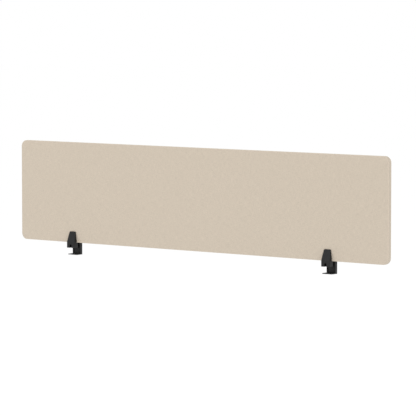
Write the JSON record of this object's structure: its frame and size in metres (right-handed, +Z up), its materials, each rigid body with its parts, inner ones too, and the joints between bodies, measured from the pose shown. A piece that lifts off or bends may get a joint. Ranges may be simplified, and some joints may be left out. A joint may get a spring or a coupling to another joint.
{
  "type": "desk privacy panel",
  "caption": "Low fabric-covered desk divider with rounded corners, held upright by clamp brackets that grip its lower edge and the desk top.",
  "frame": {"origin": "on the desk top's surface, midway between the two brackets and under the panel's mid-plane", "axes": "+X along the panel, +Y away from the sitter, off the desk's edge, +Z up"},
  "size_m": [1.8, 0.053, 0.4495],
  "materials": {
    "fibre_board": "raw board",
    "foam": "soft open-cell layer",
    "fabric_face": "plain weave",
    "fabric_edge": "plain weave",
    "black_casting": "fine satin powder coat",
    "black_steel": "fine satin powder coat",
    "rubber_grip": "matt",
    "rubber_pad": "matt",
    "zinc_steel": "zinc plated",
    "black_screw": "black oxide",
    "brass": "turned"
  },
  "bodies": {
    "screen": {"core_board": "fibre_board", "front_foam": "foam", "rear_foam": "foam", "front_cover": "fabric_face", "rear_cover": "fabric_face", "edge_band": "fabric_edge", "left_body": "black_casting", "left_rear_grip": "rubber_grip", "left_desk_pad": "rubber_pad", "left_clamp_insert": "brass", "left_pinch_insert": "brass", "right_body": "black_casting", "right_rear_grip": "rubber_grip", "right_desk_pad": "rubber_pad", "right_clamp_insert": "brass", "right_pinch_insert": "brass"},
    "left_cheek_body": {"left_cheek": "black_casting", "left_front_grip": "rubber_grip"},
    "left_pinch_body": {"left_pinch_screw": "black_screw"},
    "left_jaw_body": {"left_jaw": "black_steel", "left_jaw_pad": "rubber_pad"},
    "left_clamp_body": {"left_clamp_screw": "zinc_steel"},
    "right_cheek_body": {"right_cheek": "black_casting", "right_front_grip": "rubber_grip"},
    "right_pinch_body": {"right_pinch_screw": "black_screw"},
    "right_jaw_body": {"right_jaw": "black_steel", "right_jaw_pad": "rubber_pad"},
    "right_clamp_body": {"right_clamp_screw": "zinc_steel"}
  },
  "joints": [
    {"name": "left_jaw_slide", "type": "slide", "parent": "screen", "child": "left_jaw_body", "axis": [0, 0, -1], "range_m": [0, 0.015]},
    {"name": "left_clamp_spin", "type": "hinge", "parent": "left_jaw_body", "child": "left_clamp_body", "pos_m": [-0.627, 0.0215, -0.0278], "axis": [0, 0, -1], "range_deg": [0, 6755]},
    {"name": "left_cheek_slide", "type": "slide", "parent": "screen", "child": "left_cheek_body", "axis": [0, -1, 0], "range_m": [0, 0.003]},
    {"name": "left_pinch_spin", "type": "hinge", "parent": "left_cheek_body", "child": "left_pinch_body", "pos_m": [-0.627, -0.0143, 0.0095], "axis": [0, -1, 0], "range_deg": [0, 1355]},
    {"name": "right_jaw_slide", "type": "slide", "parent": "screen", "child": "right_jaw_body", "axis": [0, 0, -1], "range_m": [0, 0.015]},
    {"name": "right_clamp_spin", "type": "hinge", "parent": "right_jaw_body", "child": "right_clamp_body", "pos_m": [0.627, 0.0215, -0.0278], "axis": [0, 0, -1], "range_deg": [0, 6755]},
    {"name": "right_cheek_slide", "type": "slide", "parent": "screen", "child": "right_cheek_body", "axis": [0, -1, 0], "range_m": [0, 0.003]},
    {"name": "right_pinch_spin", "type": "hinge", "parent": "right_cheek_body", "child": "right_pinch_body", "pos_m": [0.627, -0.0143, 0.0095], "axis": [0, -1, 0], "range_deg": [0, 1355]}
  ],
  "couplings": [
    {"joint": "left_clamp_spin", "follows": "left_jaw_slide", "rad_per_m": 7854},
    {"joint": "left_pinch_spin", "follows": "left_cheek_slide", "rad_per_m": 7854},
    {"joint": "right_clamp_spin", "follows": "right_jaw_slide", "rad_per_m": 7854},
    {"joint": "right_pinch_spin", "follows": "right_cheek_slide", "rad_per_m": 7854}
  ]
}
